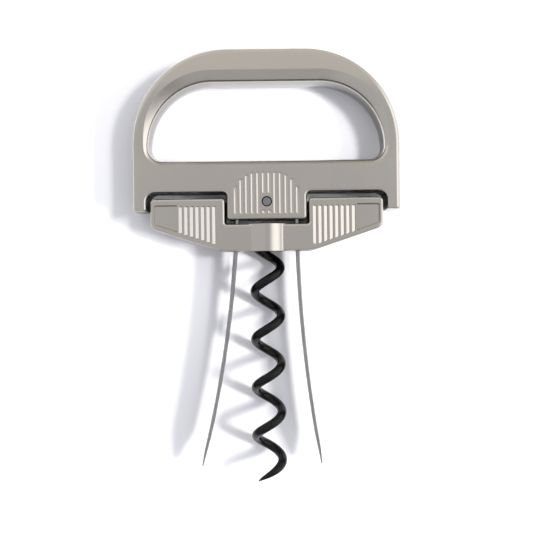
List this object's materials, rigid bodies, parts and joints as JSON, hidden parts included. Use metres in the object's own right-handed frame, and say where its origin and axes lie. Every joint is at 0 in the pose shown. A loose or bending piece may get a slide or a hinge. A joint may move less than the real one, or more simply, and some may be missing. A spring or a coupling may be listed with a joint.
{
  "type": "prong corkscrew",
  "caption": "Cork puller for old corks: a D-shaped grip carries thin spring prongs, and a removable winged key between them carries a black coated worm.",
  "frame": {"origin": "middle of the tool's outline, on the surface that its back lies on", "axes": "+X across the tool, to the right when its front is seen with the grip up; +Y along the tool, from the worm's point to the grip; +Z out of the surface, through the front face"},
  "size_m": [0.0828, 0.1342, 0.0156],
  "materials": {
    "handle_casting": "satin nickel plate on cast zinc",
    "spring_steel": "bright spring steel",
    "pin_steel": "dull steel",
    "key_casting": "satin nickel plate on cast zinc",
    "worm_coating": "glossy black low-friction coating on steel wire"
  },
  "bodies": {
    "handle": {"handle_frame": "handle_casting", "prong_strip": "spring_steel", "prong_pin": "pin_steel"},
    "key": {"key_plate": "key_casting", "worm": "worm_coating"}
  },
  "joints": [
    {"name": "key_slide", "type": "slide", "parent": "handle", "child": "key", "axis": [0, -1, 0], "range_m": [-0.0013, 0.085]}
  ]
}
